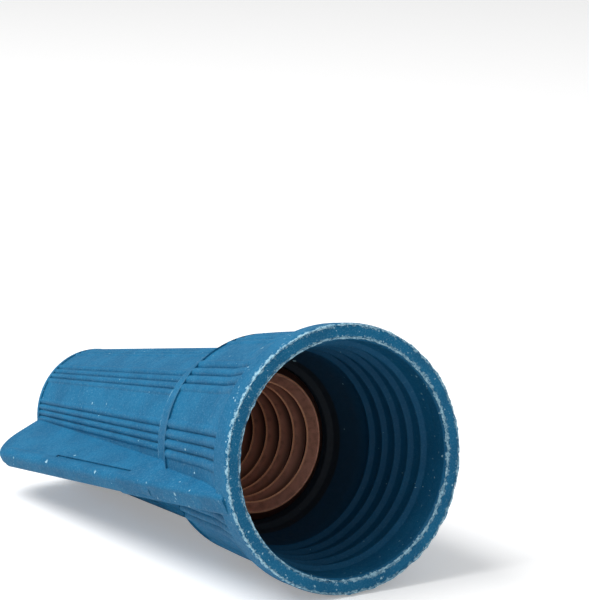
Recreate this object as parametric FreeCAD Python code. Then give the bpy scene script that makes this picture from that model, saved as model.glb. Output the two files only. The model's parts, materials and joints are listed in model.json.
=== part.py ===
import FreeCAD, Part
import math
import os

from FreeCAD import Placement, Rotation, Vector

# Twist-on wire connector: a moulded, winged and ribbed shell with a square-wire spring in its bore.
# Millimetres. Each piece is built upright on the shell's own axis, with the mouth at z = 0 and the
# closed end above it, and is then laid down as the connector lies on a bench: on the rim of its
# mouth and the edge of its closed end, the mouth towards -Y and one wing leaning to the surface.

# Overall sizes of the shell
LENGTH = 40.0
MOUTH_RADIUS = 8.5
RIM_WALL = 1.25

# Plain band round the mouth
RIM_BAND_HEIGHT = 2.2
RIM_BAND_TAPER = 0.15
RIM_ROUND = 0.35

# Ribbed skirt above the band: how far its foot, hip, waist and top stand inside the rim
SKIRT_FOOT_STEP = 0.25
SKIRT_HIP_HEIGHT = 5.2
SKIRT_HIP_STEP = 0.88
SKIRT_WAIST_HEIGHT = 8.6
SKIRT_WAIST_STEP = 1.17
SKIRT_TOP_HEIGHT = 11.9
SKIRT_TOP_STEP = 1.5

# Smooth collar between the skirt and the body: how far it stands outside the body's ribs
COLLAR_NECK_HEIGHT = 13.6
COLLAR_NECK_STEP = 0.42
COLLAR_NECK_ROUND = 1.5
COLLAR_TOP_HEIGHT = 14.9
COLLAR_TOP_STEP = 0.2
COLLAR_EDGE_ROUND = 0.1

# Ribbed body: plastic outside the spring's front and back, and its closed end
BODY_FOOT_WALL = 0.97
BODY_TOP_WALL = 1.5
END_WALL = 2.9
END_CAP_HEIGHT = 0.9
END_ROUND = 0.7

# Gripping ribs, the same on the skirt and the body; they get shallower as the shell narrows
RIB_GROUPS = 10
RIBS_TURNED = 15.0
RIBS_PER_GROUP = 4
RIB_PITCH_ANGLE = 5.2
RIB_GROOVE_DEPTH_AT_RIM = 0.32
PANEL_DEPTH_AT_RIM = 0.16

# Wings: a thin web that passes beside the axis, a bead along its straight edge with a groove
# inside, and a braced foot
WING_OFFSET = 1.6
WING_TOP_OVERHANG = 0.25
WING_FOOT_OVERHANG = 0.05
WEB_THICKNESS = 1.0
WEB_EDGE_ROUND = 0.35
WING_TOP_SETBACK = 0.45
WING_CORNER_ROUND = 3.3
BEAD_WIDTH = 1.2
BEAD_THICKNESS = 1.6
BEAD_ROUND = 0.55
BEAD_TOP_BELOW_END = 3.6
EDGE_GROOVE_WIDTH = 0.25
EDGE_GROOVE_DEPTH = 0.12
EDGE_GROOVE_BELOW_BEAD = 7.5
FOOT_THICKNESS = 1.7
FOOT_ROUND = 0.4
FOOT_START_HEIGHT = 0.9
BRACE_RISE = 1.9

# Hollow of the skirt: a plain band, a threaded length and a throat
MOUTH_BAND_DEPTH = 1.3
MOUTH_LIP_ROUND = 0.3
HOLLOW_DEPTH = 12.4
THROAT_HEIGHT = 2.8
THREADED_NARROWING = 1.0
THROAT_ROUND = 3.0
HOLLOW_CORNER_ROUND = 0.1
THREAD_PITCH = 1.5
THREAD_HEIGHT = 0.36
THREAD_ROOT_WIDTH = 0.75
THREAD_CREST_WIDTH = 0.14
THREAD_BURIED = 0.2
THREAD_START_GAP = 0.45
THREAD_START_ANGLE = 180.0

# Funnel from the hollow's throat into the spring's bore
FUNNEL_STEP = 0.3
FUNNEL_HEIGHT = 0.3
FUNNEL_CORNER_ROUND = 0.1

# Square-wire spring, its wire on edge, narrowing towards the closed end
WIRE_SIDE = 1.0
WIRE_TURN_GAP = 0.33
SPRING_FRONT_OUTER_RADIUS = 6.05
SPRING_BACK_OUTER_RADIUS = 3.75
SPRING_FRONT_PROUD = 1.1
SPRING_START_ANGLE = 180.0

# How the spring sits in its bore: free to open at the front, held at the back
BORE_FRONT_CLEARANCE = 0.15
BORE_BACK_CLEARANCE = 0.02
BORE_PAST_SPRING = 0.8
BORE_END_ROUND = 0.6

# How the connector lies: the lean of its wings from level, and how finely its bounds are measured
WING_LEAN = 23.0
BOUNDS_TOLERANCE = 0.01

# Worked out from the sizes above
RIM_RADIUS = MOUTH_RADIUS + RIM_WALL
THREADED_DEPTH = HOLLOW_DEPTH - THROAT_HEIGHT
THREADED_END_RADIUS = MOUTH_RADIUS - THREADED_NARROWING
THROAT_END_RADIUS = SPRING_FRONT_OUTER_RADIUS + BORE_FRONT_CLEARANCE + FUNNEL_STEP
THREAD_ROOM = THREADED_DEPTH - MOUTH_BAND_DEPTH - THREAD_START_GAP
THREAD_LENGTH = math.floor(THREAD_ROOM / THREAD_PITCH) * THREAD_PITCH
BODY_FOOT_RADIUS = SPRING_FRONT_OUTER_RADIUS + BODY_FOOT_WALL
BODY_TOP_RADIUS = SPRING_BACK_OUTER_RADIUS + BODY_TOP_WALL
WIRE_DIAGONAL = WIRE_SIDE * math.sqrt(2)
SPRING_PITCH = WIRE_DIAGONAL + WIRE_TURN_GAP
SPRING_FRONT_DEPTH = HOLLOW_DEPTH - SPRING_FRONT_PROUD
SPRING_ROOM = LENGTH - END_WALL - BORE_PAST_SPRING - SPRING_FRONT_DEPTH - WIRE_DIAGONAL
SPRING_TURNS = math.floor(SPRING_ROOM / SPRING_PITCH)
SPRING_HEIGHT = SPRING_TURNS * SPRING_PITCH
SPRING_BACK_DEPTH = SPRING_FRONT_DEPTH + SPRING_HEIGHT + WIRE_DIAGONAL
BRACE_TOP_HEIGHT = COLLAR_TOP_HEIGHT + BRACE_RISE


def polar(radius, angle, z):
    """Point at a radius and an angle in degrees round the axis, at height z."""
    turn = math.radians(angle)
    return Vector(radius * math.cos(turn), radius * math.sin(turn), z)


def between(a, b, share):
    """Value a given share of the way from a to b."""
    return a + (b - a) * share


def rounded_wire(corners, place):
    """Closed wire through (across, up, round) corners, each corner with its own round."""
    points = [place(across, up) for across, up, _ in corners]
    count = len(corners)
    starts, ends, middles = [], [], []
    for i, (_, _, radius) in enumerate(corners):
        here = points[i]
        back = (points[i - 1] - here).normalize()
        ahead = (points[(i + 1) % count] - here).normalize()
        half = back.getAngle(ahead) / 2
        reach = radius / math.tan(half)
        starts.append(here + back * reach)
        ends.append(here + ahead * reach)
        bisector = (back + ahead).normalize()
        middles.append(here + bisector * (radius / math.sin(half) - radius))
    edges = []
    for i, (_, _, radius) in enumerate(corners):
        if radius > 0:
            edges.append(Part.Arc(starts[i], middles[i], ends[i]).toShape())
        edges.append(Part.LineSegment(ends[i], starts[(i + 1) % count]).toShape())
    return Part.Wire(edges)


def turned(corners):
    """Solid of revolution about the axis, from (radius, z, round) corners."""
    wire = rounded_wire(corners, lambda across, up: Vector(across, 0, up))
    return Part.Face(wire).revolve(Vector(0, 0, 0), Vector(0, 0, 1), 360)


def wing_plate(corners, thickness, edge_round):
    """Plate in the plane of the wings, from (x, z, round) corners, its outline edges rounded."""
    wire = rounded_wire(corners, lambda across, up: Vector(across, -thickness / 2, up))
    plate = Part.Face(wire).extrude(Vector(0, thickness, 0))
    outline = []
    for edge in plate.Edges:
        box = edge.BoundBox
        if box.YLength < thickness / 2 and box.XMax > RIM_RADIUS / 2:
            outline.append(edge)
    return plate.makeFillet(edge_round, outline)


def ribbed_section(radius, z):
    """Outline at height z: groups of rounded ribs as high as radius, with plain panels between."""
    panel = radius - PANEL_DEPTH_AT_RIM * radius / RIM_RADIUS
    valley = radius - RIB_GROOVE_DEPTH_AT_RIM * radius / RIM_RADIUS
    group_angle = RIBS_PER_GROUP * RIB_PITCH_ANGLE
    group_spacing = 360 / RIB_GROUPS
    edges = []
    for group in range(RIB_GROUPS):
        start = RIBS_TURNED + 90 + group * group_spacing - group_angle / 2
        for rib in range(RIBS_PER_GROUP):
            angle = start + rib * RIB_PITCH_ANGLE
            foot = panel if rib == 0 else valley
            far_foot = panel if rib == RIBS_PER_GROUP - 1 else valley
            crest = polar(radius, angle + RIB_PITCH_ANGLE / 2, z)
            rib_end = polar(far_foot, angle + RIB_PITCH_ANGLE, z)
            edges.append(Part.Arc(polar(foot, angle, z), crest, rib_end).toShape())
        panel_start = start + group_angle
        panel_end = start + group_spacing
        middle = polar(panel, (panel_start + panel_end) / 2, z)
        arc = Part.Arc(polar(panel, panel_start, z), middle, polar(panel, panel_end, z))
        edges.append(arc.toShape())
    return Part.Wire(edges)


def ribbed_column(stations):
    """Solid ribbed all round, through (radius, z) stations."""
    sections = [ribbed_section(radius, z) for radius, z in stations]
    return Part.makeLoft(sections, True, True)


def rim_band():
    """Plain band round the mouth, rounded on both its edges."""
    return turned([
        (0, 0, 0),
        (RIM_RADIUS, 0, RIM_ROUND),
        (RIM_RADIUS - RIM_BAND_TAPER, RIM_BAND_HEIGHT, RIM_ROUND / 2),
        (0, RIM_BAND_HEIGHT, 0),
    ])


def skirt():
    """Ribbed skirt that the fingers turn."""
    return ribbed_column([
        (RIM_RADIUS - SKIRT_FOOT_STEP, RIM_BAND_HEIGHT),
        (RIM_RADIUS - SKIRT_HIP_STEP, SKIRT_HIP_HEIGHT),
        (RIM_RADIUS - SKIRT_WAIST_STEP, SKIRT_WAIST_HEIGHT),
        (RIM_RADIUS - SKIRT_TOP_STEP, SKIRT_TOP_HEIGHT),
    ])


def collar():
    """Smooth flared collar between the skirt and the body."""
    return turned([
        (0, SKIRT_TOP_HEIGHT, 0),
        (RIM_RADIUS - SKIRT_TOP_STEP, SKIRT_TOP_HEIGHT, 0),
        (BODY_FOOT_RADIUS + COLLAR_NECK_STEP, COLLAR_NECK_HEIGHT, COLLAR_NECK_ROUND),
        (BODY_FOOT_RADIUS + COLLAR_TOP_STEP, COLLAR_TOP_HEIGHT, COLLAR_EDGE_ROUND),
        (0, COLLAR_TOP_HEIGHT, 0),
    ])


def body():
    """Tapering ribbed body round the spring."""
    return ribbed_column([
        (BODY_FOOT_RADIUS, COLLAR_TOP_HEIGHT),
        (BODY_TOP_RADIUS, LENGTH - END_CAP_HEIGHT),
    ])


def end_cap():
    """Closed end above the ribs, rounded at its edge."""
    return turned([
        (0, LENGTH - END_CAP_HEIGHT, 0),
        (BODY_TOP_RADIUS, LENGTH - END_CAP_HEIGHT, 0),
        (BODY_TOP_RADIUS, LENGTH, END_ROUND),
        (0, LENGTH, 0),
    ])


def wing_edge(z):
    """Distance from the axis to the wing's straight edge at height z."""
    return RIM_RADIUS + between(WING_FOOT_OVERHANG, WING_TOP_OVERHANG, z / LENGTH)


def wing_web():
    """Thin web of one wing, with its rounded outer corner."""
    top = LENGTH - WING_TOP_SETBACK
    return wing_plate([
        (0, SKIRT_TOP_HEIGHT, 0),
        (wing_edge(SKIRT_TOP_HEIGHT), SKIRT_TOP_HEIGHT, 0),
        (wing_edge(top), top, WING_CORNER_ROUND),
        (0, top, 0),
    ], WEB_THICKNESS, WEB_EDGE_ROUND)


def wing_foot():
    """Thick foot of one wing, along the skirt, its top a brace that slopes up to the bead."""
    return wing_plate([
        (0, FOOT_START_HEIGHT, 0),
        (wing_edge(FOOT_START_HEIGHT) - RIM_BAND_TAPER, FOOT_START_HEIGHT, 0),
        (wing_edge(BRACE_TOP_HEIGHT), BRACE_TOP_HEIGHT, 0),
        (BODY_FOOT_RADIUS, COLLAR_TOP_HEIGHT, 0),
        (0, SKIRT_TOP_HEIGHT, 0),
    ], FOOT_THICKNESS, FOOT_ROUND)


def wing_bead():
    """Bead along the straight edge of one wing, on both its faces."""
    foot = COLLAR_TOP_HEIGHT
    top = LENGTH - BEAD_TOP_BELOW_END
    return wing_plate([
        (wing_edge(foot) - BEAD_WIDTH, foot, 0),
        (wing_edge(foot), foot, 0),
        (wing_edge(top), top, 0),
        (wing_edge(top) - BEAD_WIDTH, top, 0),
    ], BEAD_THICKNESS, BEAD_ROUND)


def edge_groove(side):
    """Shallow groove just inside the bead, on one face of the web."""
    foot = COLLAR_TOP_HEIGHT
    top = LENGTH - BEAD_TOP_BELOW_END - EDGE_GROOVE_BELOW_BEAD
    inner = BEAD_WIDTH + EDGE_GROOVE_WIDTH
    floor = side * (WEB_THICKNESS / 2 - EDGE_GROOVE_DEPTH)
    corners = [
        Vector(wing_edge(foot) - inner, floor, foot),
        Vector(wing_edge(foot) - BEAD_WIDTH, floor, foot),
        Vector(wing_edge(top) - BEAD_WIDTH, floor, top),
        Vector(wing_edge(top) - inner, floor, top),
    ]
    outline = Part.makePolygon(corners + corners[:1])
    return Part.Face(outline).extrude(Vector(0, side * WEB_THICKNESS, 0))


def wing():
    """One whole wing, on the +X side, its plane beside the axis."""
    web = wing_web().cut([edge_groove(side) for side in (-1, 1)])
    plate = web.fuse([wing_bead(), wing_foot()])
    plate.translate(Vector(0, WING_OFFSET, 0))
    return plate


def bore_radius(z):
    """Radius of the spring's bore at height z: clear at the spring's front, close at its back."""
    front = SPRING_FRONT_OUTER_RADIUS + BORE_FRONT_CLEARANCE
    back = SPRING_BACK_OUTER_RADIUS + BORE_BACK_CLEARANCE
    share = (z - SPRING_FRONT_DEPTH) / (SPRING_BACK_DEPTH - SPRING_FRONT_DEPTH)
    return between(front, back, share)


def hollow():
    """Everything open inside the shell: mouth, threaded hollow, throat, funnel and spring bore."""
    bore_start = HOLLOW_DEPTH + FUNNEL_HEIGHT
    bore_end = SPRING_BACK_DEPTH + BORE_PAST_SPRING
    lip = MOUTH_RADIUS + MOUTH_LIP_ROUND
    return turned([
        (0, -RIM_BAND_HEIGHT, 0),
        (lip, -RIM_BAND_HEIGHT, 0),
        (lip, 0, 0),
        (MOUTH_RADIUS, MOUTH_LIP_ROUND, 0),
        (MOUTH_RADIUS, MOUTH_BAND_DEPTH, 0),
        (THREADED_END_RADIUS, THREADED_DEPTH, THROAT_ROUND),
        (THROAT_END_RADIUS, HOLLOW_DEPTH, HOLLOW_CORNER_ROUND),
        (bore_radius(bore_start), bore_start, FUNNEL_CORNER_ROUND),
        (bore_radius(bore_end), bore_end, BORE_END_ROUND),
        (0, bore_end, 0),
    ])


def hollow_radius(z):
    """Radius of the threaded hollow's wall at height z."""
    share = (z - MOUTH_BAND_DEPTH) / (THREADED_DEPTH - MOUTH_BAND_DEPTH)
    return between(MOUTH_RADIUS, THREADED_END_RADIUS, share)


def narrowing_coil(corners, back_radius, top, pitch, height, slope, turned_by):
    """Solid on a right-hand helix that narrows upwards, from (outward, up) corners of its section.

    It is swept from its narrow back end, whose centre is at height top, and then turned over.
    """
    outline = [Vector(back_radius + outward, 0, up) for outward, up in corners]
    section = Part.makePolygon(outline + outline[:1])
    path = Part.makeHelix(pitch, height, back_radius, math.degrees(math.atan(slope)))
    coil = Part.Wire(path.Edges).makePipeShell([section], True, True)
    coil.rotate(Vector(0, 0, 0), Vector(1, 0, 0), 180)
    coil.rotate(Vector(0, 0, 0), Vector(0, 0, 1), turned_by)
    coil.translate(Vector(0, 0, top))
    return coil


def thread():
    """Helical ridge in the skirt's hollow that draws the wires in."""
    back = MOUTH_BAND_DEPTH + THREAD_START_GAP + THREAD_LENGTH
    slope = THREADED_NARROWING / (THREADED_DEPTH - MOUTH_BAND_DEPTH)
    corners = [
        (THREAD_BURIED, -THREAD_ROOT_WIDTH / 2),
        (THREAD_BURIED, THREAD_ROOT_WIDTH / 2),
        (-THREAD_HEIGHT, THREAD_CREST_WIDTH / 2),
        (-THREAD_HEIGHT, -THREAD_CREST_WIDTH / 2),
    ]
    return narrowing_coil(
        corners, hollow_radius(back), back, THREAD_PITCH, THREAD_LENGTH, slope, THREAD_START_ANGLE
    )


def insulating_shell():
    """Moulded shell: skirt, collar, body, closed end and two wings, hollowed and threaded."""
    right = wing()
    left = right.copy()
    left.rotate(Vector(0, 0, 0), Vector(0, 0, 1), 180)
    outside = rim_band().fuse([skirt(), collar(), body(), end_cap(), right, left])
    shell = outside.cut(hollow()).fuse(thread())
    return shell.removeSplitter()


def square_wire_spring():
    """Coiled square wire, an edge of the wire facing inwards to bite into the conductors."""
    half = WIRE_DIAGONAL / 2
    corners = [(half, 0), (0, half), (-half, 0), (0, -half)]
    back_radius = SPRING_BACK_OUTER_RADIUS - half
    slope = (SPRING_FRONT_OUTER_RADIUS - SPRING_BACK_OUTER_RADIUS) / SPRING_HEIGHT
    top = SPRING_BACK_DEPTH - half
    return narrowing_coil(
        corners, back_radius, top, SPRING_PITCH, SPRING_HEIGHT, slope, SPRING_START_ANGLE
    )


def lying(shape):
    """The upright shape laid down, its mouth towards -Y and its -X wing leaning down."""
    narrowing = RIM_RADIUS - RIM_BAND_TAPER - BODY_TOP_RADIUS
    drop = narrowing / (LENGTH - END_ROUND - RIM_BAND_HEIGHT)
    lean = Rotation(Vector(0, 0, 1), -WING_LEAN)
    recline = Rotation(Vector(1, 0, 0), -90 - math.degrees(math.atan(drop)))
    laid = shape.copy()
    laid.Placement = Placement(Vector(0, 0, 0), recline.multiply(lean)).multiply(shape.Placement)
    return laid


def stand_on_floor(pieces):
    """Move every piece alike, so that the whole rests on z = 0, centred on the origin."""
    box = FreeCAD.BoundBox()
    for piece in pieces.values():
        for corner in piece.tessellate(BOUNDS_TOLERANCE)[0]:
            box.add(corner)
    move = Vector(-box.Center.x, -box.Center.y, -box.ZMin)
    for piece in pieces.values():
        piece.translate(move)


def main():
    os.makedirs("parts", exist_ok=True)
    pieces = {
        "insulating_shell": lying(insulating_shell()),
        "square_wire_spring": lying(square_wire_spring()),
    }
    stand_on_floor(pieces)
    for name, piece in pieces.items():
        piece.exportStep("parts/" + name + ".step")
        box = piece.BoundBox
        print(name, piece.ShapeType, len(piece.Solids), piece.isValid(), round(piece.Volume, 1),
              [round(v, 2) for v in (box.XMin, box.YMin, box.ZMin, box.XMax, box.YMax, box.ZMax)])


main()
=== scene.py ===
import json
import math
import random

import bmesh
import bpy
from bpy.props import FloatProperty, FloatVectorProperty, IntProperty, PointerProperty
from mathutils import Matrix, Vector


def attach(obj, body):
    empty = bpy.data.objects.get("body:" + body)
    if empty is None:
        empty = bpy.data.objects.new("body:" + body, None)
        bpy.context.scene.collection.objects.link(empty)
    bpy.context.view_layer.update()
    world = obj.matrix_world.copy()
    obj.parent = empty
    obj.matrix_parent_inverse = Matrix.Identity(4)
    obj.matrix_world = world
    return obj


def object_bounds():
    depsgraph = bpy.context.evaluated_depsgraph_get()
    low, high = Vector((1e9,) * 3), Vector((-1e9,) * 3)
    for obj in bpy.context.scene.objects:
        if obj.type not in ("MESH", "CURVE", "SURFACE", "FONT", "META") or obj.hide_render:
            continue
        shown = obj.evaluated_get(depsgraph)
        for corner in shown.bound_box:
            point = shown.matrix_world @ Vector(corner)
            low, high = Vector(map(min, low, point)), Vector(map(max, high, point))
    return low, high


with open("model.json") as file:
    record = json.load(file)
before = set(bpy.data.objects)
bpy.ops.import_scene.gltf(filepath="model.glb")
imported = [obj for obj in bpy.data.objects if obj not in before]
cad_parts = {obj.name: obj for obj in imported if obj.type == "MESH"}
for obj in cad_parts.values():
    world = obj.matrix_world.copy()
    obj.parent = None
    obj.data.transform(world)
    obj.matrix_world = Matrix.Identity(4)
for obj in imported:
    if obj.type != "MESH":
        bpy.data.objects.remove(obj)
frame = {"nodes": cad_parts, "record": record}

CAD_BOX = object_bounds()

bl_info = {
    "name": "Twist wire connector",
    "version": (1, 0, 0),
    "blender": (4, 5, 0),
    "location": "View3D > Sidebar > Connector",
    "description": "Finishes, moulding flash and a studio for a winged twist-on wire connector",
    "category": "Object",
}

SHELL = "insulating_shell"
SPRING = "square_wire_spring"
BODY = "root"
MM = 0.001


# ---------------------------------------------------------------- the connector's own axis

def mount(name):
    """The record's mount of that name."""
    for entry in frame["record"]["mounts"]:
        if entry["name"] == name:
            return entry
    raise RuntimeError("the packed record has no mount named " + name)


END_CENTRE = Vector(mount("closed_end")["pos_m"])
ALONG = Vector(mount("closed_end")["axis"]).normalized()
LENGTH = (END_CENTRE - Vector(mount("rim_face")["pos_m"])).dot(ALONG)
MOUTH_CENTRE = END_CENTRE - ALONG * LENGTH
MOUTH_RADIUS = mount("wire_mouth")["dims"]["r_mm"] * MM
WING_LEAN = math.radians(23)

# Places below are on the upright connector, in millimetres from its axis and above its mouth.
# A slope is how much a radius shrinks for each millimetre of height.

# Just behind the wall of the skirt's hollow and of the spring's bore: bounds of the painted shade
HOLLOW_CLOSES = 12.4
HOLLOW_RADIUS = 9.0
HOLLOW_SLOPE = 0.115
BORE_RADIUS = 7.75
BORE_SLOPE = 0.087

# Edges that carry flash: radius and height
RIM_OUTER = (9.66, 0.07)
RIM_INNER = (8.68, 0.06)
RIM_OUTER_FILM = (9.64, 0.08)
RIM_INNER_FILM = (8.74, 0.05)
COLLAR_TOP = (7.2, 14.9)

# Marks on the outside
RIM_WEAR_HEIGHT = 2.6
WING_EDGE = (9.35, 9.8)
END_FILM = (39.3, 39.95)

# The spring's coil: middle of the wire, half its width, and where the front turn gives way to the next
COIL_START = 12.0
COIL_RADIUS = 5.34
COIL_SLOPE = 0.101
WIRE_HALF = 0.707
FRONT_TURN = (13.3, 13.9)

# Moulding flash: radius and height of each line, the mouth's radius being from its wall outwards
RIM_FLASH = (9.62, 0.04)
MOUTH_FLASH = (0.16, 0.05)
COLLAR_FLASH = (7.17, 14.88)
COLLAR_FLASH_SHARE = 0.4
FLASH_TEAR = 2.2

# Mark on the closed end, in millimetres: its disc, then each step's inset and rise from the rim inwards
MARK_RADIUS = 3.6
MARK_DEPTH = 0.3
MARK_BEVEL = 0.05
MARK_STEPS = ((0.35, -0.11), (2.25, 0.0), (0.12, 0.09), (0.35, -0.12))

# Chips: seed of their places, height of the crowded band, share kept above it, and clear of the axis
CHIP_SEED = 11
CHIP_BAND = 3.5
CHIP_SHARE_ABOVE = 0.35
CHIP_CLEAR_RADIUS = 4.0
CHIP_THICKNESS = 0.22

# Lights: place from the connector's centre and side of the square, in metres
KEY_PLACE = (-0.22, 0.08, 0.40)
KEY_SIDE = 0.30
FILL_PLACE = (-0.16, -0.42, 0.22)
FILL_SIDE = 0.08
FLOOR_SIDE = 6

SMOOTH_ANGLE = math.radians(40)


def lying_frame():
    """Matrix from the upright connector, mouth at its origin and closed end above, to the lying one."""
    tilt = math.asin(-ALONG.z)
    recline = Matrix.Rotation(-math.pi / 2 - tilt, 4, "X")
    lean = Matrix.Rotation(-WING_LEAN, 4, "Z")
    return Matrix.Translation(MOUTH_CENTRE) @ recline @ lean


LYING = lying_frame()


# ---------------------------------------------------------------- settings

class ConnectorFinish(bpy.types.PropertyGroup):
    """Colours and wear of the connector, with its painted shade and painted highlight."""

    plastic: FloatVectorProperty(
        name="Plastic", description="Colour of the moulded plastic",
        default=(0.0050, 0.150, 0.308), size=3, min=0, max=1, subtype="COLOR",
    )
    plastic_deep: FloatVectorProperty(
        name="Deep plastic", description="Darker patches of the moulded plastic",
        default=(0.0035, 0.122, 0.260), size=3, min=0, max=1, subtype="COLOR",
    )
    # Painted shade inside the skirt's hollow; the same colour also darkens the random stipple outside.
    hollow: FloatVectorProperty(
        name="Hollow plastic", description="Dark plastic inside the skirt's hollow",
        default=(0.0010, 0.048, 0.115), size=3, min=0, max=1, subtype="COLOR",
    )
    # Painted shade in front of the spring and in its bore.
    painted_shade: FloatVectorProperty(
        name="Shade", description="Dark grime in front of the spring and in its bore",
        default=(0.014, 0.017, 0.021), size=3, min=0, max=1, subtype="COLOR",
    )
    stress: FloatVectorProperty(
        name="Stressed plastic", description="Pale plastic of flash, scuffs and chips",
        default=(0.42, 0.68, 0.80), size=3, min=0, max=1, subtype="COLOR",
    )
    dust: FloatVectorProperty(
        name="Worn end", description="Dusty film on the closed end",
        default=(0.30, 0.36, 0.52), size=3, min=0, max=1, subtype="COLOR",
    )
    copper: FloatVectorProperty(
        name="Copper", description="Bright plating of the spring wire",
        default=(0.70, 0.32, 0.22), size=3, min=0, max=1, subtype="COLOR",
    )
    # Painted highlight along the spring wire's corners, partly rubbed bare metal.
    rubbed: FloatVectorProperty(
        name="Rubbed edge", description="Bare bright metal along the corners of the spring wire",
        default=(1.0, 0.50, 0.29), size=3, min=0, max=1, subtype="COLOR",
    )
    # Painted shade in the spring wire's valleys and on its outer face, and also the colour of its real
    # patches of tarnish.
    tarnish_and_valley_shade: FloatVectorProperty(
        name="Tarnish_and_shade", description="Dull brown of the spring wire's valleys",
        default=(0.12, 0.045, 0.028), size=3, min=0, max=1, subtype="COLOR",
    )
    flash: FloatProperty(
        name="Flash", description="How far the moulding flash stands out of the rim's edges",
        default=0.00012, min=0, max=0.001, unit="LENGTH",
    )
    chips: IntProperty(
        name="Chips", description="How many loose chips of plastic cling to the shell",
        default=110, min=0, max=2000,
    )
    chip_size: FloatProperty(
        name="Chip size", description="Length of an average chip",
        default=0.00021, min=0.00001, max=0.002, unit="LENGTH",
    )


class ConnectorStudio(bpy.types.PropertyGroup):
    """Floor, light and camera."""

    azimuth: FloatProperty(
        name="Azimuth", description="Turn of the camera about the vertical",
        default=math.radians(-30.72), subtype="ANGLE",
    )
    elevation: FloatProperty(
        name="Elevation", description="Height of the camera above the horizon",
        default=math.radians(11.33), subtype="ANGLE",
    )
    distance: FloatProperty(
        name="Distance", description="From the camera to the point it looks at",
        default=0.2194, min=0.01, unit="LENGTH",
    )
    aim: FloatVectorProperty(
        name="Aim", description="The point the camera looks at, from the centre of the mouth",
        default=(-0.0020, 0.0038, 0.0111), size=3, subtype="TRANSLATION", unit="LENGTH",
    )
    lens: FloatProperty(
        name="Lens", description="Focal length in millimetres on a 36 mm wide sensor",
        default=188.9, min=10,
    )
    floor: FloatVectorProperty(
        name="Floor", description="Colour of the floor",
        default=(0.86, 0.86, 0.86), size=3, min=0, max=1, subtype="COLOR",
    )
    glow: FloatProperty(
        name="Floor glow", description="How much brighter the floor looks than it is lit",
        default=0.30, min=0,
    )
    surround: FloatProperty(
        name="Surround", description="Strength of the surround as light; it always looks white",
        default=0.42, min=0,
    )
    key: FloatProperty(
        name="Key light", description="Power of the large light above and to the left",
        default=2.2, min=0, unit="POWER",
    )
    fill: FloatProperty(
        name="Fill light", description="Power of the light in front of the mouth",
        default=0.09, min=0, unit="POWER",
    )


# ---------------------------------------------------------------- modelling helpers

def deselect_all():
    """Nothing selected and no active object."""
    bpy.ops.object.select_all(action="DESELECT")
    bpy.context.view_layer.objects.active = None


def only(obj):
    """Select obj alone and make it active."""
    deselect_all()
    obj.select_set(True)
    bpy.context.view_layer.objects.active = obj


def lay_down(obj):
    """Carry a piece made on the upright connector to the lying one, its place in its mesh."""
    only(obj)
    obj.matrix_world = LYING @ obj.matrix_world
    bpy.ops.object.transform_apply(location=True, rotation=True, scale=True)


def apply_modifiers(obj):
    """Apply every modifier in order."""
    only(obj)
    for modifier in list(obj.modifiers):
        bpy.ops.object.modifier_apply(modifier=modifier.name)


def recalculate_normals(obj):
    """Merge doubles and point every face outwards."""
    only(obj)
    bpy.ops.object.mode_set(mode="EDIT")
    bpy.ops.mesh.select_all(action="SELECT")
    bpy.ops.mesh.remove_doubles(threshold=0.000001)
    bpy.ops.mesh.normals_make_consistent(inside=False)
    bpy.ops.object.mode_set(mode="OBJECT")


def finish_piece(obj, name, material):
    """Name a finished piece, give it its material and let it ride on the connector."""
    obj.name = name
    obj.data.name = name
    obj.data.materials.clear()
    obj.data.materials.append(material)
    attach(obj, BODY)


# ---------------------------------------------------------------- shader groups

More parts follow.
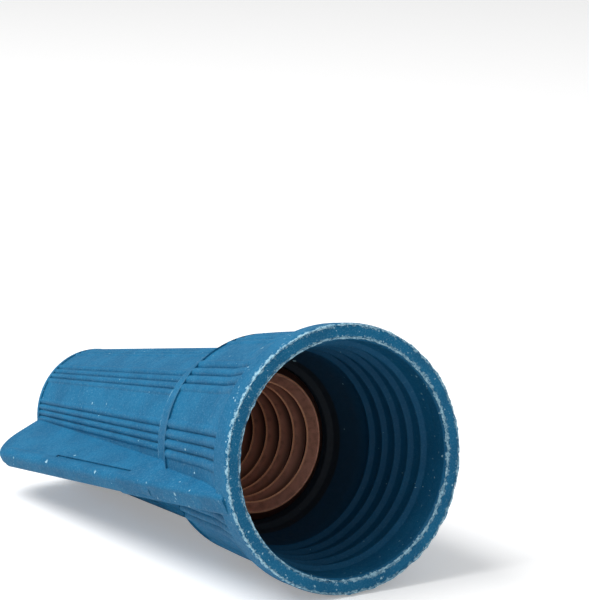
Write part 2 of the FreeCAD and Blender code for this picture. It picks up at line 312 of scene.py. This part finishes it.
class Nodes:
    """Adds nodes to a tree and links them, laid out in columns."""

    def __init__(self, tree):
        self.tree = tree
        self.count = 0

    def add(self, kind, **values):
        """New node with its settings."""
        node = self.tree.nodes.new(kind)
        node.location = (220 * (self.count % 12), -260 * (self.count // 12))
        self.count += 1
        for key, value in values.items():
            setattr(node, key, value)
        return node

    def link(self, source, target):
        """Link an output to an input."""
        self.tree.links.new(source, target)

    def feed(self, target, value):
        """Link a socket or set a plain value on a target socket."""
        if isinstance(value, bpy.types.NodeSocket):
            self.link(value, target)
        else:
            target.default_value = value

    def math(self, operation, a, b=None, clamp=False):
        """Result of one sum."""
        node = self.add("ShaderNodeMath", operation=operation, use_clamp=clamp)
        self.feed(node.inputs[0], a)
        if b is not None:
            self.feed(node.inputs[1], b)
        return node.outputs[0]

    def step(self, value, low, high, out_low=0.0, out_high=1.0):
        """Smooth step of a value from low to high."""
        node = self.add("ShaderNodeMapRange", interpolation_type="SMOOTHSTEP")
        self.feed(node.inputs["Value"], value)
        self.feed(node.inputs["From Min"], low)
        self.feed(node.inputs["From Max"], high)
        self.feed(node.inputs["To Min"], out_low)
        self.feed(node.inputs["To Max"], out_high)
        return node.outputs["Result"]

    def noise(self, vector, scale, detail=2.0, roughness=0.5):
        """Soft noise from 0 to 1; on millimetres, the scale is per millimetre."""
        node = self.add("ShaderNodeTexNoise")
        self.feed(node.inputs["Vector"], vector)
        self.feed(node.inputs["Scale"], scale)
        self.feed(node.inputs["Detail"], detail)
        self.feed(node.inputs["Roughness"], roughness)
        return node.outputs["Fac"]

    def product(self, *values):
        """All values multiplied."""
        result = values[0]
        for value in values[1:]:
            result = self.math("MULTIPLY", result, value)
        return result

    def largest(self, *values):
        """Largest of several values."""
        result = values[0]
        for value in values[1:]:
            result = self.math("MAXIMUM", result, value)
        return result

    def mix(self, factor, a, b):
        """Mix of two colours."""
        node = self.add("ShaderNodeMix", data_type="RGBA")
        self.feed(node.inputs["Factor"], factor)
        self.feed(node.inputs["A"], a)
        self.feed(node.inputs["B"], b)
        return node.outputs["Result"]

    def radius_and_height(self, place):
        """Distance from the connector's axis and height above its mouth, of a place in millimetres."""
        parts = self.add("ShaderNodeSeparateXYZ")
        self.link(place, parts.inputs[0])
        across = self.product(parts.outputs["X"], parts.outputs["X"])
        aside = self.product(parts.outputs["Y"], parts.outputs["Y"])
        return self.math("SQRT", self.math("ADD", across, aside)), parts.outputs["Z"]

    def own_millimetres(self):
        """Position in millimetres on the upright connector, from Object coordinates."""
        coordinates = self.add("ShaderNodeTexCoord")
        mapping = self.add("ShaderNodeMapping", vector_type="TEXTURE")
        mapping.inputs["Location"].default_value = LYING.to_translation()
        mapping.inputs["Rotation"].default_value = LYING.to_euler()
        mapping.inputs["Scale"].default_value = (MM, MM, MM)
        self.link(coordinates.outputs["Object"], mapping.inputs["Vector"])
        return mapping.outputs["Vector"]


def new_group(name, inputs, outputs):
    """Empty shader group with (name, socket type, default) inputs and (name, socket type) outputs."""
    tree = bpy.data.node_groups.new(name, "ShaderNodeTree")
    for socket_name, kind, default in inputs:
        socket = tree.interface.new_socket(name=socket_name, in_out="INPUT", socket_type=kind)
        if default is not None:
            socket.default_value = default
    for socket_name, kind in outputs:
        tree.interface.new_socket(name=socket_name, in_out="OUTPUT", socket_type=kind)
    nodes = Nodes(tree)
    return nodes, nodes.add("NodeGroupInput").outputs, nodes.add("NodeGroupOutput").inputs


def speck_group():
    """Scattered irregular specks: a mask from cells, some of which hold one speck."""
    nodes, given, result = new_group(
        "Specks",
        [("Vector", "NodeSocketVector", None), ("Scale", "NodeSocketFloat", 2.0),
         ("Share", "NodeSocketFloat", 0.2), ("Size", "NodeSocketFloat", 0.3)],
        [("Mask", "NodeSocketFloat")],
    )
    ragged = nodes.add("ShaderNodeTexNoise")
    nodes.link(given["Vector"], ragged.inputs["Vector"])
    nodes.feed(ragged.inputs["Scale"], 6.0)
    nodes.feed(ragged.inputs["Detail"], 3.0)
    shift = nodes.add("ShaderNodeVectorMath", operation="MULTIPLY_ADD")
    nodes.link(ragged.outputs["Color"], shift.inputs[0])
    nodes.feed(shift.inputs[1], (0.3, 0.3, 0.3))
    nodes.link(given["Vector"], shift.inputs[2])
    cells = nodes.add("ShaderNodeTexVoronoi")
    nodes.link(shift.outputs[0], cells.inputs["Vector"])
    nodes.link(given["Scale"], cells.inputs["Scale"])
    split = nodes.add("ShaderNodeSeparateColor")
    nodes.link(cells.outputs["Color"], split.inputs["Color"])
    chosen = nodes.math("LESS_THAN", split.outputs["Red"], given["Share"])
    reach = nodes.product(split.outputs["Green"], given["Size"])
    inside = nodes.math("SUBTRACT", reach, cells.outputs["Distance"])
    soft = nodes.step(inside, 0.0, 0.06)
    nodes.link(nodes.product(soft, chosen), result["Mask"])
    return nodes.tree


def edge_line_group():
    """Ragged line round the connector at a radius and a height, as flash leaves it."""
    nodes, given, result = new_group(
        "Edge line",
        [("Vector", "NodeSocketVector", None), ("Radius", "NodeSocketFloat", 9.0),
         ("Height", "NodeSocketFloat", 0.0), ("Width", "NodeSocketFloat", 0.2)],
        [("Mask", "NodeSocketFloat")],
    )
    radius, height = nodes.radius_and_height(given["Vector"])
    across = nodes.math("SUBTRACT", radius, given["Radius"])
    along = nodes.math("SUBTRACT", height, given["Height"])
    squares = nodes.math("ADD", nodes.product(across, across), nodes.product(along, along))
    away = nodes.math("SQRT", squares)
    wander = nodes.noise(given["Vector"], 2.6, 5.0, 0.75)
    width = nodes.product(given["Width"], nodes.step(wander, 0.38, 0.68, 0.05, 2.4))
    share = nodes.math("DIVIDE", away, width)
    nodes.link(nodes.step(share, 1.0, 0.55), result["Mask"])
    return nodes.tree


def place_group(nodes, group, **inputs):
    """A group node with its inputs fed, by socket name."""
    node = nodes.add("ShaderNodeGroup")
    node.node_tree = group
    for key, value in inputs.items():
        nodes.feed(node.inputs[key], value)
    return node.outputs["Mask"]


def new_material(name):
    """Node material with its Principled shader."""
    material = bpy.data.materials.new(name)
    material.use_nodes = True
    shader = material.node_tree.nodes["Principled BSDF"]
    return material, Nodes(material.node_tree), shader


def edge_line(nodes, line, place, edge, width):
    """Mask of a ragged line along an edge given as radius and height."""
    return place_group(nodes, line, Vector=place, Radius=edge[0], Height=edge[1], Width=width)


def add_relief(nodes, shader, relief, strength, depth, softness=0.0, samples=4):
    """Bump the surface by a relief, over edges softened by a radius where one is given (both in mm)."""
    bump = nodes.add("ShaderNodeBump")
    bump.inputs["Strength"].default_value = strength
    bump.inputs["Distance"].default_value = depth * MM
    nodes.link(relief, bump.inputs["Height"])
    if softness:
        soft_edges = nodes.add("ShaderNodeBevel", samples=samples)
        soft_edges.inputs["Radius"].default_value = softness * MM
        nodes.link(soft_edges.outputs["Normal"], bump.inputs["Normal"])
    nodes.link(bump.outputs["Normal"], shader.inputs["Normal"])


# ---------------------------------------------------------------- materials

def outside_colour(nodes, place, finish):
    """Patches of two blues, with a fine light and dark stipple."""
    patches = nodes.step(nodes.noise(place, 0.35, 3.0), 0.35, 0.65)
    even = nodes.mix(patches, (*finish.plastic_deep, 1), (*finish.plastic, 1))
    stipple = nodes.noise(place, 8.0, 2.0, 0.7)
    light = nodes.mix(nodes.step(stipple, 0.5, 0.75, 0.0, 0.13), even, (*finish.stress, 1))
    return nodes.mix(nodes.step(stipple, 0.52, 0.25, 0.0, 0.30), light, (*finish.hollow, 1))


def paint_hollow_shade(nodes, radius, height, outside, finish):
    """The outside's colour with painted shade: darker deeper within the skirt's hollow, and near-black
    towards the spring, on the ledge and in its bore.
    """
    # Painted shade: the hollow's wall is darkened, more deeply towards the spring.
    unsloped = nodes.math("ADD", radius, nodes.product(height, HOLLOW_SLOPE))
    inside = nodes.step(unsloped, HOLLOW_RADIUS + 0.05, HOLLOW_RADIUS - 0.05)
    below = nodes.step(height, HOLLOW_CLOSES + 0.6, HOLLOW_CLOSES + 0.3)
    above = nodes.step(height, 0.0, 0.35)
    within = nodes.product(inside, below, above)
    depth = nodes.step(height, 0.2, 9.5, 0.60, 0.85)
    shaded = nodes.mix(nodes.product(within, depth), outside, (*finish.hollow, 1))

    # Painted shade: near-black in the throat, on the ledge and on the bore's wall behind the spring.
    bore_unsloped = nodes.math("ADD", radius, nodes.product(height, BORE_SLOPE))
    bore = nodes.step(bore_unsloped, BORE_RADIUS + 0.05, BORE_RADIUS - 0.05)
    throat = nodes.step(height, 8.8, 10.5, 0.0, 0.55)
    ledge = nodes.step(height, HOLLOW_CLOSES - 0.25, HOLLOW_CLOSES - 0.05, 0.0, 0.40)
    throat_shade_mask = nodes.product(within, nodes.largest(throat, ledge))
    deep_shade_mask = nodes.largest(throat_shade_mask, nodes.product(bore, 0.95))
    return nodes.mix(deep_shade_mask, shaded, (*finish.painted_shade, 1))


def flash_lines(nodes, place):
    """Pale ragged lines along the rim's two edges and the collar."""
    line = edge_line_group()
    rim_outer = edge_line(nodes, line, place, RIM_OUTER, 0.15)
    rim_inner = edge_line(nodes, line, place, RIM_INNER, 0.12)
    outer_film = edge_line(nodes, line, place, RIM_OUTER_FILM, 0.21)
    inner_film = edge_line(nodes, line, place, RIM_INNER_FILM, 0.15)
    feather = nodes.step(nodes.noise(place, 5.5, 4.0, 0.75), 0.47, 0.60, 0.0, 0.65)
    film = nodes.product(nodes.largest(outer_film, inner_film), feather)
    broken = nodes.step(nodes.noise(place, 0.35, 3.0), 0.35, 0.65, 0.15, 0.7)
    collar = nodes.product(edge_line(nodes, line, place, COLLAR_TOP, 0.10), broken)
    return nodes.largest(rim_outer, rim_inner, collar, film)


def scuffs(nodes, place, height):
    """Pale specks: thick near the rim, on the wings' beads and in rubbed patches, and a few strays."""
    specks = speck_group()
    rim = place_group(nodes, specks, Vector=place, Scale=4.2, Share=0.16, Size=0.40)
    near_rim = nodes.step(height, RIM_WEAR_HEIGHT, 0.0)
    wing = place_group(nodes, specks, Vector=place, Scale=2.4, Share=0.10, Size=0.42)
    parts = nodes.add("ShaderNodeSeparateXYZ")
    nodes.link(place, parts.inputs[0])
    on_bead = nodes.step(nodes.math("ABSOLUTE", parts.outputs["X"]), *WING_EDGE)
    past_foot = nodes.step(height, 4.0, 9.0)
    fine = place_group(nodes, specks, Vector=place, Scale=5.0, Share=0.08, Size=0.34)
    rubbed = nodes.step(nodes.noise(place, 0.6, 2.0), 0.52, 0.7)
    stray = place_group(nodes, specks, Vector=place, Scale=1.5, Share=0.05, Size=0.20)
    return nodes.largest(
        nodes.product(rim, near_rim),
        nodes.product(wing, on_bead, past_foot),
        nodes.product(fine, rubbed),
        stray,
    )


def plastic_material(finish):
    """Matte moulded plastic with grain, patches, scuffs, pale flash lines and a worn closed end."""
    material, nodes, shader = new_material("moulded_plastic")
    place = nodes.own_millimetres()
    radius, height = nodes.radius_and_height(place)
    # The base colour carries the painted shade of the hollow and of the bore.
    base = paint_hollow_shade(nodes, radius, height, outside_colour(nodes, place, finish), finish)
    pale = nodes.largest(flash_lines(nodes, place), scuffs(nodes, place, height))
    cloudy = nodes.step(nodes.noise(place, 0.9, 4.0, 0.6), 0.25, 0.75, 0.10, 0.45)
    dusty = nodes.mix(nodes.product(nodes.step(height, *END_FILM), cloudy), base, (*finish.dust, 1))
    colour = nodes.mix(nodes.product(pale, 0.8), dusty, (*finish.stress, 1))
    nodes.link(colour, shader.inputs["Base Color"])

    mottle = nodes.step(nodes.noise(place, 2.6, 2.0), 0.3, 0.7, 0.52, 0.66)
    roughness = nodes.math("ADD", mottle, nodes.product(pale, 0.25), clamp=True)
    nodes.link(roughness, shader.inputs["Roughness"])

    grain = nodes.product(nodes.noise(place, 9.0, 3.0, 0.6), 0.7)
    ripple = nodes.noise(place, 1.1, 2.0)
    raised = nodes.math("ADD", ripple, nodes.product(pale, 0.8))
    relief = nodes.math("ADD", grain, raised)
    add_relief(nodes, shader, relief, strength=0.5, depth=0.03, softness=0.12)
    shader.inputs["IOR"].default_value = 1.49
    shader.inputs["Specular IOR Level"].default_value = 0.18
    return material


def flash_material(finish):
    """Thin pale plastic, torn and stress-whitened."""
    material, nodes, shader = new_material("plastic_flash")
    place = nodes.own_millimetres()
    torn = nodes.noise(place, 3.5, 5.0, 0.7)
    colour = nodes.mix(nodes.step(torn, 0.36, 0.6), (*finish.plastic, 1), (*finish.stress, 1))
    nodes.link(colour, shader.inputs["Base Color"])
    nodes.link(nodes.step(torn, 0.3, 0.7, 0.55, 0.8), shader.inputs["Roughness"])
    add_relief(nodes, shader, nodes.noise(place, 14.0, 3.0), strength=0.5, depth=0.04)
    return material


def wire_material(finish):
    """Copper-coloured plated wire with patches of tarnish, painted shade in its valleys and on its
    outer face, and a painted highlight, partly rubbed bare metal, along its edges.
    """
    material, nodes, shader = new_material("plated_wire")
    place = nodes.own_millimetres()
    radius, height = nodes.radius_and_height(place)
    run = nodes.product(nodes.math("SUBTRACT", height, COIL_START), COIL_SLOPE)
    inwards = nodes.math("SUBTRACT", nodes.math("SUBTRACT", COIL_RADIUS, run), radius)
    cloud = nodes.noise(place, 1.6, 4.0, 0.6)
    fine = nodes.noise(place, 12.0, 3.0, 0.6)

    # Painted shade: the valleys past the front turn and the wire's outer face take the dark tarnish
    # colour, as do the real cloudy patches of tarnish.
    valley_shade = nodes.step(inwards, WIRE_HALF * 0.8, 0.0)
    past_front = nodes.step(height, *FRONT_TURN)
    clouded = nodes.math("ADD", cloud, nodes.product(fine, 0.25))
    worn = nodes.step(clouded, 0.45, 0.95, 0.0, 0.45)
    outer_face_shade = nodes.step(inwards, -0.03, -0.14)
    shade_and_tarnish = nodes.largest(nodes.product(valley_shade, past_front, 0.92), worn, outer_face_shade)
    colour = nodes.mix(shade_and_tarnish, (*finish.copper, 1), (*finish.tarnish_and_valley_shade, 1))

    # Painted highlight, partly rubbed bare metal: pale, less metallic and glossier along the crests and
    # the front turn's middle corner.
    crest_highlight = nodes.step(inwards, WIRE_HALF - 0.12, WIRE_HALF - 0.06)
    near_middle = nodes.step(nodes.math("ABSOLUTE", inwards), 0.08, 0.03)
    on_front = nodes.step(height, *reversed(FRONT_TURN))
    uneven = nodes.step(cloud, 0.25, 0.6, 0.6, 1.0)
    rub_and_highlight = nodes.product(nodes.largest(crest_highlight, nodes.product(near_middle, on_front)), uneven)
    nodes.link(nodes.mix(rub_and_highlight, colour, (*finish.rubbed, 1)), shader.inputs["Base Color"])
    satin = nodes.step(fine, 0.3, 0.75, 0.32, 0.46)
    nodes.link(nodes.math("SUBTRACT", satin, nodes.product(rub_and_highlight, 0.10)), shader.inputs["Roughness"])
    nodes.link(nodes.step(rub_and_highlight, 0.0, 1.0, 0.60, 0.10), shader.inputs["Metallic"])
    add_relief(nodes, shader, fine, strength=0.3, depth=0.01, softness=0.11, samples=6)
    return material


def floor_material(studio):
    """Plain pale floor, seen a little brighter than it lights the object."""
    material, nodes, shader = new_material("studio_floor")
    shader.inputs["Base Color"].default_value = (*studio.floor, 1)
    shader.inputs["Emission Color"].default_value = (1, 1, 1, 1)
    seen = nodes.add("ShaderNodeLightPath").outputs["Is Camera Ray"]
    nodes.link(nodes.product(seen, studio.glow), shader.inputs["Emission Strength"])
    shader.inputs["Roughness"].default_value = 0.7
    shader.inputs["Specular IOR Level"].default_value = 0.2
    return material


def shared_material(name, build, settings):
    """The material of that name, built when it is first asked for."""
    found = bpy.data.materials.get(name)
    return found if found else build(settings)


def give_material(node_name, material):
    """Put one material on every slot of a CAD node."""
    mesh = frame["nodes"][node_name].data
    mesh.materials.clear()
    mesh.materials.append(material)


# ---------------------------------------------------------------- pieces

class CONNECTOR_OT_shell_plastic(bpy.types.Operator):
    """Give the shell its moulded plastic"""

    bl_idname = "connector.shell_plastic"
    bl_label = "Shell plastic"

    def execute(self, context):
        finish = context.scene.connector_finish
        give_material(SHELL, shared_material("moulded_plastic", plastic_material, finish))
        return {"FINISHED"}


class CONNECTOR_OT_spring_wire(bpy.types.Operator):
    """Give the spring its plated wire"""

    bl_idname = "connector.spring_wire"
    bl_label = "Spring wire"

    def execute(self, context):
        finish = context.scene.connector_finish
        give_material(SPRING, shared_material("plated_wire", wire_material, finish))
        return {"FINISHED"}


def ragged_ring(name, radius, height, thickness, seed, finish):
    """Torn line of flash round the axis, at a radius and a height on the upright connector."""
    deselect_all()
    bpy.ops.mesh.primitive_torus_add(
        major_radius=radius, minor_radius=thickness / 2, major_segments=420, minor_segments=6,
        location=(0, 0, height),
    )
    ring = bpy.context.object
    bpy.ops.object.transform_apply(location=True, rotation=False, scale=False)
    texture = bpy.data.textures.new(name + "_tear", "CLOUDS")
    texture.noise_scale = 0.00055
    texture.noise_depth = 3
    tear = ring.modifiers.new("tear", "DISPLACE")
    tear.texture = texture
    tear.texture_coords = "LOCAL"
    tear.mid_level = 0.52 + 0.01 * seed
    tear.strength = thickness * FLASH_TEAR
    apply_modifiers(ring)
    only(ring)
    bpy.ops.object.shade_smooth_by_angle(angle=SMOOTH_ANGLE)
    lay_down(ring)
    finish_piece(ring, name, shared_material("plastic_flash", flash_material, finish))


class CONNECTOR_OT_flash(bpy.types.Operator):
    """Lines of torn moulding flash on both edges of the rim and at the top of the collar"""

    bl_idname = "connector.flash"
    bl_label = "Moulding flash"

    def execute(self, context):
        finish = context.scene.connector_finish
        radius, height = (value * MM for value in RIM_FLASH)
        ragged_ring("rim_flash", radius, height, finish.flash, 0, finish)
        past_mouth, height = (value * MM for value in MOUTH_FLASH)
        ragged_ring("mouth_flash", MOUTH_RADIUS + past_mouth, height, finish.flash, 1, finish)
        radius, height = (value * MM for value in COLLAR_FLASH)
        ragged_ring("collar_flash", radius, height, finish.flash * COLLAR_FLASH_SHARE, 2, finish)
        return {"FINISHED"}


class CONNECTOR_OT_end_mark(bpy.types.Operator):
    """Plain raised ring and gate stub moulded on the closed end"""

    bl_idname = "connector.end_mark"
    bl_label = "End mark"

    def execute(self, context):
        finish = context.scene.connector_finish
        deselect_all()
        bpy.ops.mesh.primitive_cylinder_add(
            vertices=96, radius=MARK_RADIUS * MM, depth=MARK_DEPTH * MM, location=(0, 0, LENGTH),
        )
        mark = bpy.context.object
        bpy.ops.object.transform_apply(location=True, rotation=False, scale=False)
        shape_end_mark(mark)
        bevel = mark.modifiers.new("soft", "BEVEL")
        bevel.width = MARK_BEVEL * MM
        bevel.segments = 2
        bevel.limit_method = "ANGLE"
        apply_modifiers(mark)
        recalculate_normals(mark)
        only(mark)
        bpy.ops.object.shade_smooth_by_angle(angle=SMOOTH_ANGLE)
        lay_down(mark)
        material = shared_material("moulded_plastic", plastic_material, finish)
        finish_piece(mark, "end_mark", material)
        return {"FINISHED"}


def select_top(mesh, height):
    """In edit mode, select the one face that looks up at a height."""
    shape = bmesh.from_edit_mesh(mesh)
    for face in shape.faces:
        at_top = abs(face.calc_center_median().z - height) < 0.01 * MM
        face.select_set(at_top and face.normal.z > 0.9 and len(face.verts) > 4)
    bmesh.update_edit_mesh(mesh)


def shape_end_mark(mark):
    """Sink the disc inside a narrow raised ring, and raise a small gate stub with a dimple."""
    height = LENGTH + MARK_DEPTH / 2 * MM
    only(mark)
    bpy.ops.object.mode_set(mode="EDIT")
    bpy.ops.mesh.select_mode(type="FACE")
    for inset, rise in MARK_STEPS:
        select_top(mark.data, height)
        bpy.ops.mesh.inset(thickness=inset * MM, depth=0)
        bpy.ops.transform.translate(value=(0, 0, rise * MM))
        height += rise * MM
    bpy.ops.object.mode_set(mode="OBJECT")


def shell_surface():
    """Triangles of the shell with running sums of their areas, for placing chips evenly."""
    mesh = frame["nodes"][SHELL].data
    mesh.calc_loop_triangles()
    triangles, sums, total = [], [], 0.0
    for triangle in mesh.loop_triangles:
        total += triangle.area
        triangles.append(triangle)
        sums.append(total)
    return mesh, triangles, sums


class CONNECTOR_OT_chips(bpy.types.Operator):
    """Loose chips of plastic that cling to the outside of the shell"""

    bl_idname = "connector.chips"
    bl_label = "Plastic chips"

    def execute(self, context):
        finish = context.scene.connector_finish
        master = chip_master(finish)
        scatter_chips(master, finish)
        return {"FINISHED"}


def chip_master(finish):
    """One torn flake, flat and uneven, to be copied."""
    deselect_all()
    bpy.ops.mesh.primitive_ico_sphere_add(subdivisions=1, radius=0.5)
    master = bpy.context.object
    texture = bpy.data.textures.new("chip_tear", "CLOUDS")
    texture.noise_scale = 0.7
    tear = master.modifiers.new("tear", "DISPLACE")
    tear.texture = texture
    tear.strength = 0.55
    apply_modifiers(master)
    return master


def scatter_chips(master, finish):
    """Copies of the flake all over the outside, thickest near the rim, joined to one piece."""
    draw = random.Random(CHIP_SEED)
    mesh, triangles, sums = shell_surface()
    to_upright = LYING.inverted()
    chips = bmesh.new()
    placed = 0
    while placed < finish.chips:
        triangle = draw.choices(triangles, cum_weights=sums)[0]
        a, b, c = (mesh.vertices[i].co for i in triangle.vertices)
        s, t = draw.random(), draw.random()
        if s + t > 1:
            s, t = 1 - s, 1 - t
        spot = a + (b - a) * s + (c - a) * t
        upright = to_upright @ spot
        normal = triangle.normal
        away = Vector((upright.x, upright.y, 0))
        outward = (to_upright.to_3x3() @ normal).dot(away)
        keep = 1.0 if upright.z < CHIP_BAND * MM else CHIP_SHARE_ABOVE
        if outward <= 0 or away.length < CHIP_CLEAR_RADIUS * MM or draw.random() > keep:
            continue
        size = finish.chip_size * draw.uniform(0.35, 1.5)
        shape = (size * draw.uniform(0.7, 1.4), size * draw.uniform(0.4, 0.8), size * CHIP_THICKNESS)
        turn = normal.to_track_quat("Z", "Y").to_matrix().to_4x4()
        spin = Matrix.Rotation(draw.uniform(0, math.tau), 4, "Z")
        placing = Matrix.Translation(spot) @ turn @ spin @ Matrix.Diagonal((*shape, 1))
        start = len(chips.verts)
        chips.from_mesh(master.data)
        chips.verts.ensure_lookup_table()
        bmesh.ops.transform(chips, matrix=placing, verts=chips.verts[start:])
        placed += 1
    chips.to_mesh(master.data)
    chips.free()
    material = shared_material("plastic_flash", flash_material, finish)
    finish_piece(master, "plastic_chips", material)


# ---------------------------------------------------------------- stage

def area_light(name, place, target, size, power):
    """Square soft light at a place, looking at a target."""
    deselect_all()
    bpy.ops.object.light_add(type="AREA", location=place)
    light = bpy.context.object
    light.name = name
    light.data.shape = "SQUARE"
    light.data.size = size
    light.data.energy = power
    light.rotation_euler = (target - Vector(place)).to_track_quat("-Z", "Y").to_euler()


class CONNECTOR_OT_stage(bpy.types.Operator):
    """Pale floor, soft lights, white surround and the camera"""

    bl_idname = "connector.stage"
    bl_label = "Studio"

    def execute(self, context):
        studio = context.scene.connector_studio
        deselect_all()
        bpy.ops.mesh.primitive_plane_add(size=FLOOR_SIDE)
        floor = bpy.context.object
        floor.name = "studio_floor"
        floor.data.materials.append(floor_material(studio))
        centre = (CAD_BOX[0] + CAD_BOX[1]) / 2
        area_light("key_light", centre + Vector(KEY_PLACE), centre, KEY_SIDE, studio.key)
        area_light("fill_light", centre + Vector(FILL_PLACE), centre, FILL_SIDE, studio.fill)
        world = bpy.data.worlds.new("studio_surround")
        world.use_nodes = True
        background = world.node_tree.nodes["Background"]
        background.inputs["Color"].default_value = (1, 1, 1, 1)
        nodes = Nodes(world.node_tree)
        seen = nodes.add("ShaderNodeLightPath").outputs["Is Camera Ray"]
        nodes.link(nodes.step(seen, 0.0, 1.0, studio.surround, 1.0), background.inputs["Strength"])
        context.scene.world = world
        context.scene.view_settings.view_transform = "Standard"
        add_camera(context, studio)
        return {"FINISHED"}


def add_camera(context, studio):
    """Camera looking at its aim from the set angles and distance."""
    deselect_all()
    bpy.ops.object.camera_add()
    camera = bpy.context.object
    camera.name = "studio_camera"
    back = Vector((
        math.sin(studio.azimuth) * math.cos(studio.elevation),
        -math.cos(studio.azimuth) * math.cos(studio.elevation),
        math.sin(studio.elevation),
    ))
    aim = MOUTH_CENTRE + Vector(studio.aim)
    camera.location = aim + back * studio.distance
    camera.rotation_euler = back.to_track_quat("Z", "Y").to_euler()
    camera.data.sensor_fit = "HORIZONTAL"
    camera.data.sensor_width = 36
    camera.data.lens = studio.lens
    camera.data.clip_start = 0.01
    camera.data.clip_end = 20
    context.scene.camera = camera


# ---------------------------------------------------------------- panel and registration

OPERATORS = (
    CONNECTOR_OT_shell_plastic,
    CONNECTOR_OT_spring_wire,
    CONNECTOR_OT_flash,
    CONNECTOR_OT_end_mark,
    CONNECTOR_OT_chips,
    CONNECTOR_OT_stage,
)


class CONNECTOR_PT_panel(bpy.types.Panel):
    """Lists the connector's pieces"""

    bl_idname = "CONNECTOR_PT_panel"
    bl_label = "Wire connector"
    bl_space_type = "VIEW_3D"
    bl_region_type = "UI"
    bl_category = "Connector"

    def draw(self, context):
        for operator in OPERATORS:
            self.layout.operator(operator.bl_idname)


CLASSES = (ConnectorFinish, ConnectorStudio) + OPERATORS + (CONNECTOR_PT_panel,)


def register():
    for item in CLASSES:
        bpy.utils.register_class(item)
    bpy.types.Scene.connector_finish = PointerProperty(type=ConnectorFinish)
    bpy.types.Scene.connector_studio = PointerProperty(type=ConnectorStudio)


def unregister():
    del bpy.types.Scene.connector_studio
    del bpy.types.Scene.connector_finish
    for item in reversed(CLASSES):
        bpy.utils.unregister_class(item)


def main():
    register()
    bpy.ops.connector.shell_plastic()
    bpy.ops.connector.spring_wire()
    bpy.ops.connector.flash()
    bpy.ops.connector.end_mark()
    bpy.ops.connector.chips()
    bpy.ops.connector.stage()


if __name__ == "__main__":
    main()
